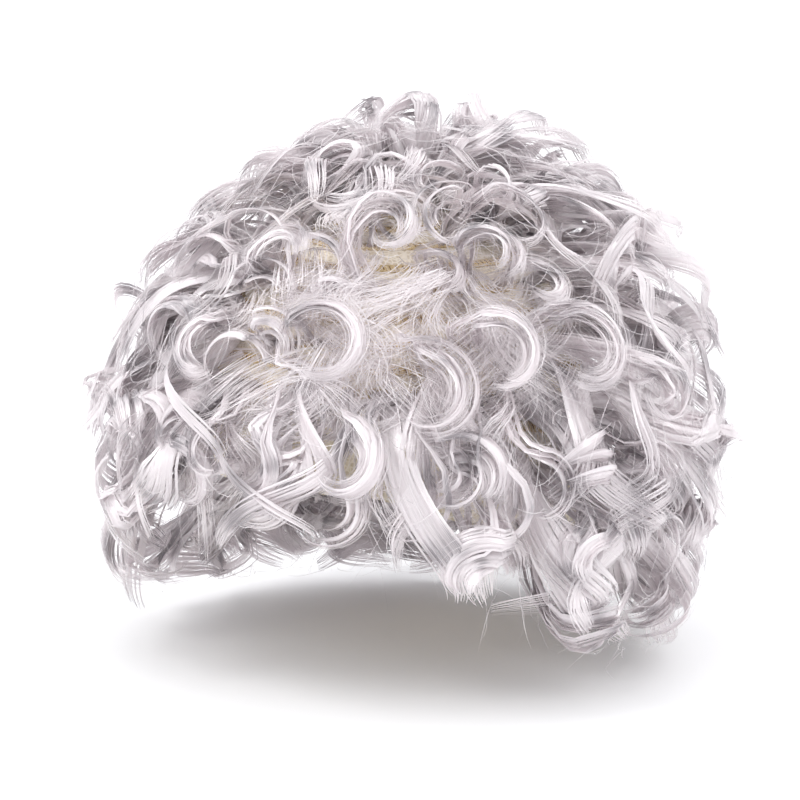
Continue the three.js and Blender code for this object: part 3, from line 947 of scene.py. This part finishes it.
def makeSilverHair():
    made, tree, shader = newMaterial("silver_hair")
    add, link = tree.nodes.new, tree.links.new

    def strandValue(name):
        node = add("ShaderNodeAttribute")
        node.attribute_name = name
        return node.outputs["Fac"]

    def maths(kind, a, b):
        node = add("ShaderNodeMath")
        node.operation = kind
        for socket, value in zip(node.inputs, (a, b)):
            if isinstance(value, (int, float)):
                socket.default_value = value
            else:
                link(value, socket)
        return node.outputs["Value"]

    tone, beat, run, across = map(strandValue, ("tone", "beat", "run", "across"))
    # painted highlight and painted shade bands along each strand, from its run and its beat
    cycle = maths("ADD", maths("MULTIPLY", run, silverMake["paintedBandRate"]), beat)
    angle = maths("MULTIPLY", cycle, 2 * math.pi)
    twice = maths("SINE", maths("MULTIPLY", angle, 2), 0)
    band = maths("ADD", maths("SINE", angle, 0), maths("MULTIPLY", twice, 0.5))
    # fine lines along each ribbon, different on each
    spot = add("ShaderNodeCombineXYZ")
    link(maths("ADD", across, maths("MULTIPLY", tone, 91)), spot.inputs["X"])
    link(maths("MULTIPLY", run, 1.5), spot.inputs["Y"])
    lines = add("ShaderNodeTexNoise")
    lines.noise_dimensions = "2D"
    lines.inputs["Scale"].default_value = 1.6
    lines.inputs["Detail"].default_value = 2
    link(spot.outputs["Vector"], lines.inputs["Vector"])
    streak = maths("MULTIPLY", maths("SUBTRACT", lines.outputs["Fac"], 0.5), 2 * silverMake["streak"])
    streakAndPaintedBands = maths("ADD", streak, maths("MULTIPLY", band, silverMake["paintedBands"]))
    shade = maths("ADD", maths("ADD", tone, silverMake["lighter"]), streakAndPaintedBands)
    colours = add("ShaderNodeValToRGB")
    ramp = colours.color_ramp.elements
    ramp[0].color = (*silverMake["dark"], 1)
    ramp[1].color = (*silverMake["pale"], 1)
    ramp.new(silverMake["middleAt"]).color = (*silverMake["middle"], 1)
    link(shade, colours.inputs["Fac"])
    link(colours.outputs["Color"], shader.inputs["Base Color"])
    rough = add("ShaderNodeMapRange")
    rough.inputs["To Min"].default_value, rough.inputs["To Max"].default_value = silverMake["rough"]
    link(shade, rough.inputs["Value"])
    link(rough.outputs["Result"], shader.inputs["Roughness"])
    bump = add("ShaderNodeBump")
    bump.inputs["Strength"].default_value = silverMake["relief"]
    bump.inputs["Distance"].default_value = 0.0001
    link(lines.outputs["Fac"], bump.inputs["Height"])
    link(bump.outputs["Normal"], shader.inputs["Normal"])
    shader.inputs["Metallic"].default_value = silverMake["metal"]
    shader.inputs["Specular IOR Level"].default_value = 0.6
    through = add("ShaderNodeBsdfTranslucent")
    link(colours.outputs["Color"], through.inputs["Color"])
    both = add("ShaderNodeMixShader")
    both.inputs["Fac"].default_value = silverMake["through"]
    link(shader.outputs["BSDF"], both.inputs[1])
    link(through.outputs["BSDF"], both.inputs[2])
    link(both.outputs["Shader"], tree.nodes["Material Output"].inputs["Surface"])
    return made


# Woven cells for the cloths, from each point's own place
def makeWoven():
    woven = bpy.data.node_groups.new("woven_cells", "ShaderNodeTree")
    for name, kind in (("Pale", "Color"), ("Dark", "Color"), ("Scale", "Float"), ("Depth", "Float")):
        woven.interface.new_socket(name, in_out="INPUT", socket_type="NodeSocket" + kind)
    woven.interface.new_socket("Color", in_out="OUTPUT", socket_type="NodeSocketColor")
    woven.interface.new_socket("Normal", in_out="OUTPUT", socket_type="NodeSocketVector")
    add, link = woven.nodes.new, woven.links.new
    given, made = add("NodeGroupInput"), add("NodeGroupOutput")
    place = add("ShaderNodeTexCoord")
    cells = add("ShaderNodeTexVoronoi")
    cells.feature = "DISTANCE_TO_EDGE"
    link(place.outputs["Object"], cells.inputs["Vector"])
    link(given.outputs["Scale"], cells.inputs["Scale"])
    hole = add("ShaderNodeMapRange")
    hole.interpolation_type = "SMOOTHSTEP"
    hole.inputs["From Max"].default_value = 0.32
    link(cells.outputs["Distance"], hole.inputs["Value"])
    colour = add("ShaderNodeMix")
    colour.data_type = "RGBA"
    link(hole.outputs["Result"], colour.inputs[0])
    link(given.outputs["Pale"], colour.inputs[6])
    link(given.outputs["Dark"], colour.inputs[7])
    link(colour.outputs[2], made.inputs["Color"])
    bump = add("ShaderNodeBump")
    bump.invert = True
    bump.inputs["Strength"].default_value = 0.6
    link(given.outputs["Depth"], bump.inputs["Distance"])
    link(cells.outputs["Distance"], bump.inputs["Height"])
    link(bump.outputs["Normal"], made.inputs["Normal"])
    return woven


def makeCloth(name, pale, dark, scale, rough, depth):
    made, tree, shader = newMaterial(name)
    weave = tree.nodes.new("ShaderNodeGroup")
    weave.node_tree = wovenCells
    weave.inputs["Pale"].default_value = (*pale, 1)
    weave.inputs["Dark"].default_value = (*dark, 1)
    weave.inputs["Scale"].default_value = scale
    weave.inputs["Depth"].default_value = depth
    tree.links.new(weave.outputs["Color"], shader.inputs["Base Color"])
    tree.links.new(weave.outputs["Normal"], shader.inputs["Normal"])
    shader.inputs["Roughness"].default_value = rough
    return made


wovenCells = makeWoven()
silverHair = makeSilverHair()
capNet = makeCloth("cap_net", (0.90, 0.83, 0.71), (0.70, 0.61, 0.47), 480, 0.85, 0.0004)
weftTape = makeCloth("weft_tape", (0.72, 0.57, 0.33), (0.50, 0.36, 0.18), 900, 0.8, 0.0003)
brownThread = makeCloth("brown_thread", (0.20, 0.085, 0.05), (0.10, 0.04, 0.025), 2500, 0.6, 0.0001)
print("materials made")

makeCap()
makeWefts()

total = sum(makeRow(i) for i in range(len(wigRows)))
print("hair triangles:", total)

# The floor, the light and the camera
stage = dict(floorGap=0.002, floorSize=40.0, floorColour=(0.84, 0.84, 0.845), floorRough=0.8,
             world=(0.97, 0.98, 1.0), overhead=1.45, level=1.02)
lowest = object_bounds()[0].z
bpy.ops.mesh.primitive_plane_add(size=stage["floorSize"], location=(0, 0, lowest - stage["floorGap"]))
floor = bpy.context.object
floor.name = "floor"
paleFloor, _, floorShader = newMaterial("pale_floor")
floorShader.inputs["Base Color"].default_value = (*stage["floorColour"], 1)
floorShader.inputs["Roughness"].default_value = stage["floorRough"]
floor.data.materials.append(paleFloor)

world = bpy.data.worlds.new("studio")
bpy.context.scene.world = world
world.use_nodes = True
world.node_tree.nodes["Background"].inputs["Color"].default_value = (*stage["world"], 1)
# brighter overhead than at the horizon
sky = world.node_tree.nodes
way = sky.new("ShaderNodeTexCoord")
height = sky.new("ShaderNodeSeparateXYZ")
bright = sky.new("ShaderNodeMapRange")
bright.inputs["To Min"].default_value = stage["level"]
bright.inputs["To Max"].default_value = stage["overhead"]
world.node_tree.links.new(way.outputs["Generated"], height.inputs["Vector"])
world.node_tree.links.new(height.outputs["Z"], bright.inputs["Value"])
world.node_tree.links.new(bright.outputs["Result"], sky["Background"].inputs["Strength"])

# broad soft lamps, far away, so that the floor is evenly lit
lamps = [
    dict(name="key", aim=(-0.50, -0.55, 1.0), spread=26, power=0.95),
    dict(name="side", aim=(0.80, -0.30, 0.80), spread=26, power=0.62),
    dict(name="rear", aim=(0.1, 0.70, 1.0), spread=36, power=0.4),
    dict(name="front", aim=(-0.35, -1.0, 0.45), spread=40, power=0.35),
]
for lamp in lamps:
    light = bpy.data.lights.new(lamp["name"], "SUN")
    light.angle = math.radians(lamp["spread"])
    light.energy = lamp["power"]
    holder = bpy.data.objects.new(lamp["name"], light)
    holder.rotation_mode = "QUATERNION"
    holder.rotation_quaternion = Vector(lamp["aim"]).to_track_quat("Z", "Y")
    bpy.context.scene.collection.objects.link(holder)

shot = dict(azimuth=30, elevation=12, distance=1.5, pixel=0.00044, imageSide=800, crownPixel=(398, 212))
azimuth, elevation = math.radians(shot["azimuth"]), math.radians(shot["elevation"])
level = math.cos(elevation)
back = Vector((math.sin(azimuth) * level, -math.cos(azimuth) * level, math.sin(elevation)))
right = Vector((math.cos(azimuth), math.sin(azimuth), 0))
up = back.cross(right)
half = shot["imageSide"] / 2
across, down = shot["crownPixel"]
target = right * ((half - across) * shot["pixel"]) + up * ((down - half) * shot["pixel"])
camera = bpy.data.cameras.new("camera")
camera.sensor_width = 36
camera.lens = camera.sensor_width * shot["distance"] / (shot["imageSide"] * shot["pixel"])
viewer = bpy.data.objects.new("camera", camera)
viewer.location = target + back * shot["distance"]
viewer.rotation_mode = "QUATERNION"
viewer.rotation_quaternion = (-back).to_track_quat("-Z", "Y")
bpy.context.scene.collection.objects.link(viewer)
bpy.context.scene.camera = viewer
bpy.context.scene.view_settings.view_transform = "Standard"
print("stage set")
